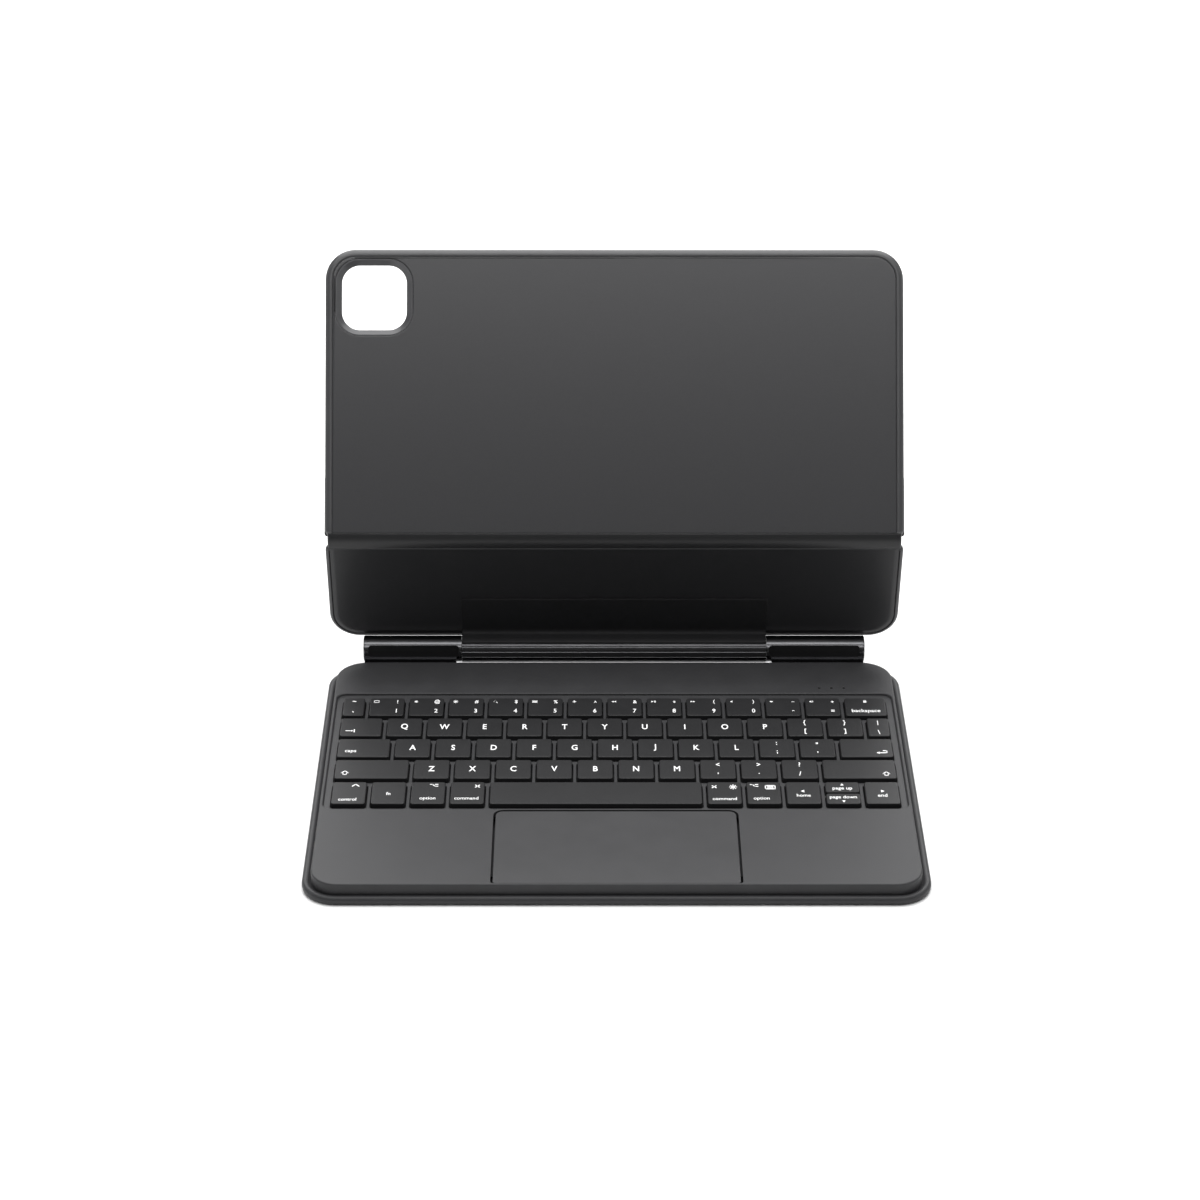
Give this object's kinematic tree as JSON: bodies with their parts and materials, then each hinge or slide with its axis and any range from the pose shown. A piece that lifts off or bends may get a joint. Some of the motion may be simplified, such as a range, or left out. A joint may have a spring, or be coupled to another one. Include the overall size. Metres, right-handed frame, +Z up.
{
  "type": "tablet keyboard case",
  "caption": "Folding tablet case with a keyboard and trackpad base, a barrel hinge, and a cantilever back panel with a camera window that folds flat over the keys.",
  "frame": {"origin": "on the desk, on the middle line of the base and 90.65 mm behind its front edge", "axes": "+X to the right along the keyboard rows, +Y back towards the hinge, +Z up"},
  "size_m": [0.2506, 0.2444, 0.1776],
  "materials": {
    "skin": "satin grained",
    "lining": "fine matt grain",
    "bezel": "satin",
    "deck": "matt",
    "keycap": "satin",
    "trackpad_glass": "satin, opaque",
    "steel": "brushed",
    "magnet": "nickel plated",
    "hinge_metal": "dark anodised",
    "insert": "matt",
    "circuit": "satin",
    "battery": "satin foil",
    "dome": "matt",
    "link": "satin",
    "film": "satin",
    "panel_core": "matt",
    "light_pipe": "clear gloss",
    "socket": "plated",
    "switch": "gloss"
  },
  "bodies": {
    "base": {"base_cover_skin": "skin", "bottom_plate": "steel", "keyboard_deck": "deck", "base_screws": "steel", "backlight_sheet": "film", "key_support_plate": "steel", "membrane_sheet": "film", "rubber_domes": "dome", "scissor_links": "link", "trackpad_bracket": "steel", "trackpad_switch": "switch", "main_board": "circuit", "battery_pack": "battery", "status_lights": "light_pipe", "base_magnets": "magnet", "left_hinge_knuckle": "hinge_metal", "right_hinge_knuckle": "hinge_metal", "hinge_inserts": "insert", "hinge_arms": "steel", "hinge_clutches": "steel", "usb_c_socket": "socket"},
    "lower_panel": {"spine_tube": "hinge_metal", "spine_cover": "skin", "hinge_shafts": "steel", "lower_panel_board": "panel_core", "lower_outer_skin": "skin", "lower_inner_skin": "lining"},
    "upper_panel": {"upper_panel_board": "panel_core", "upper_outer_skin": "skin", "upper_inner_skin": "lining", "camera_bezel": "bezel", "panel_magnets": "magnet", "fold_band": "skin", "fold_strip": "skin"},
    "trackpad": {"trackpad_plate": "trackpad_glass", "trackpad_board": "circuit"},
    "power_switch": {"power_switch": "switch"},
    "key_grave": {"key_grave": "keycap"},
    "key_backspace": {"key_backspace": "keycap"},
    "key_tab": {"key_tab": "keycap"},
    "key_backslash": {"key_backslash": "keycap"},
    "key_caps_lock": {"key_caps_lock": "keycap"},
    "key_enter": {"key_enter": "keycap"},
    "key_left_shift": {"key_left_shift": "keycap"},
    "key_right_shift": {"key_right_shift": "keycap"},
    "key_control": {"key_control": "keycap"},
    "key_fn": {"key_fn": "keycap"},
    "key_left_alt": {"key_left_alt": "keycap"},
    "key_left_cmd": {"key_left_cmd": "keycap"},
    "key_space": {"key_space": "keycap"},
    "key_right_cmd": {"key_right_cmd": "keycap"},
    "key_right_alt": {"key_right_alt": "keycap"},
    "key_left_arrow": {"key_left_arrow": "keycap"},
    "key_up_arrow": {"key_up_arrow": "keycap"},
    "key_down_arrow": {"key_down_arrow": "keycap"},
    "key_right_arrow": {"key_right_arrow": "keycap"},
    "number_keys": {"number_keys": "keycap"},
    "top_letter_keys": {"top_letter_keys": "keycap"},
    "middle_letter_keys": {"middle_letter_keys": "keycap"},
    "bottom_letter_keys": {"bottom_letter_keys": "keycap"}
  },
  "joints": [
    {"name": "rear_hinge", "type": "hinge", "parent": "base", "child": "lower_panel", "pos_m": [0, 0.0968, 0.0106], "axis": [1, 0, 0], "range_deg": [0, 76.05]},
    {"name": "fold_hinge", "type": "hinge", "parent": "lower_panel", "child": "upper_panel", "pos_m": [0, 0.08835, 0.0687], "axis": [1, 0, 0], "range_deg": [-10, 44.67]},
    {"name": "trackpad_click", "type": "hinge", "parent": "base", "child": "trackpad", "pos_m": [0, -0.0347, 0.007], "axis": [1, 0, 0], "range_deg": [0, 0.5], "stiffness_Nm_per_rad": 1.5, "springref_deg": -0.69},
    {"name": "power_slide", "type": "slide", "parent": "base", "child": "power_switch", "axis": [0, 1, 0], "range_m": [0, 0.002]},
    {"name": "key_grave_press", "type": "slide", "parent": "base", "child": "key_grave", "axis": [0, 0, -1], "range_m": [0, 0.001], "stiffness_N_per_m": 250, "springref_m": -0.0015},
    {"name": "key_backspace_press", "type": "slide", "parent": "base", "child": "key_backspace", "axis": [0, 0, -1], "range_m": [0, 0.001], "stiffness_N_per_m": 250, "springref_m": -0.0015},
    {"name": "key_tab_press", "type": "slide", "parent": "base", "child": "key_tab", "axis": [0, 0, -1], "range_m": [0, 0.001], "stiffness_N_per_m": 250, "springref_m": -0.0015},
    {"name": "key_backslash_press", "type": "slide", "parent": "base", "child": "key_backslash", "axis": [0, 0, -1], "range_m": [0, 0.001], "stiffness_N_per_m": 250, "springref_m": -0.0015},
    {"name": "key_caps_lock_press", "type": "slide", "parent": "base", "child": "key_caps_lock", "axis": [0, 0, -1], "range_m": [0, 0.001], "stiffness_N_per_m": 250, "springref_m": -0.0015},
    {"name": "key_enter_press", "type": "slide", "parent": "base", "child": "key_enter", "axis": [0, 0, -1], "range_m": [0, 0.001], "stiffness_N_per_m": 250, "springref_m": -0.0015},
    {"name": "key_left_shift_press", "type": "slide", "parent": "base", "child": "key_left_shift", "axis": [0, 0, -1], "range_m": [0, 0.001], "stiffness_N_per_m": 250, "springref_m": -0.0015},
    {"name": "key_right_shift_press", "type": "slide", "parent": "base", "child": "key_right_shift", "axis": [0, 0, -1], "range_m": [0, 0.001], "stiffness_N_per_m": 250, "springref_m": -0.0015},
    {"name": "key_control_press", "type": "slide", "parent": "base", "child": "key_control", "axis": [0, 0, -1], "range_m": [0, 0.001], "stiffness_N_per_m": 250, "springref_m": -0.0015},
    {"name": "key_fn_press", "type": "slide", "parent": "base", "child": "key_fn", "axis": [0, 0, -1], "range_m": [0, 0.001], "stiffness_N_per_m": 250, "springref_m": -0.0015},
    {"name": "key_left_alt_press", "type": "slide", "parent": "base", "child": "key_left_alt", "axis": [0, 0, -1], "range_m": [0, 0.001], "stiffness_N_per_m": 250, "springref_m": -0.0015},
    {"name": "key_left_cmd_press", "type": "slide", "parent": "base", "child": "key_left_cmd", "axis": [0, 0, -1], "range_m": [0, 0.001], "stiffness_N_per_m": 250, "springref_m": -0.0015},
    {"name": "key_space_press", "type": "slide", "parent": "base", "child": "key_space", "axis": [0, 0, -1], "range_m": [0, 0.001], "stiffness_N_per_m": 250, "springref_m": -0.0015},
    {"name": "key_right_cmd_press", "type": "slide", "parent": "base", "child": "key_right_cmd", "axis": [0, 0, -1], "range_m": [0, 0.001], "stiffness_N_per_m": 250, "springref_m": -0.0015},
    {"name": "key_right_alt_press", "type": "slide", "parent": "base", "child": "key_right_alt", "axis": [0, 0, -1], "range_m": [0, 0.001], "stiffness_N_per_m": 250, "springref_m": -0.0015},
    {"name": "key_left_arrow_press", "type": "slide", "parent": "base", "child": "key_left_arrow", "axis": [0, 0, -1], "range_m": [0, 0.001], "stiffness_N_per_m": 250, "springref_m": -0.0015},
    {"name": "key_up_arrow_press", "type": "slide", "parent": "base", "child": "key_up_arrow", "axis": [0, 0, -1], "range_m": [0, 0.001], "stiffness_N_per_m": 250, "springref_m": -0.0015},
    {"name": "key_down_arrow_press", "type": "slide", "parent": "base", "child": "key_down_arrow", "axis": [0, 0, -1], "range_m": [0, 0.001], "stiffness_N_per_m": 250, "springref_m": -0.0015},
    {"name": "key_right_arrow_press", "type": "slide", "parent": "base", "child": "key_right_arrow", "axis": [0, 0, -1], "range_m": [0, 0.001], "stiffness_N_per_m": 250, "springref_m": -0.0015},
    {"name": "number_keys_press", "type": "slide", "parent": "base", "child": "number_keys", "axis": [0, 0, -1], "range_m": [0, 0.001], "stiffness_N_per_m": 500, "springref_m": -0.0015},
    {"name": "top_letter_keys_press", "type": "slide", "parent": "base", "child": "top_letter_keys", "axis": [0, 0, -1], "range_m": [0, 0.001], "stiffness_N_per_m": 500, "springref_m": -0.0015},
    {"name": "middle_letter_keys_press", "type": "slide", "parent": "base", "child": "middle_letter_keys", "axis": [0, 0, -1], "range_m": [0, 0.001], "stiffness_N_per_m": 500, "springref_m": -0.0015},
    {"name": "bottom_letter_keys_press", "type": "slide", "parent": "base", "child": "bottom_letter_keys", "axis": [0, 0, -1], "range_m": [0, 0.001], "stiffness_N_per_m": 500, "springref_m": -0.0015}
  ]
}
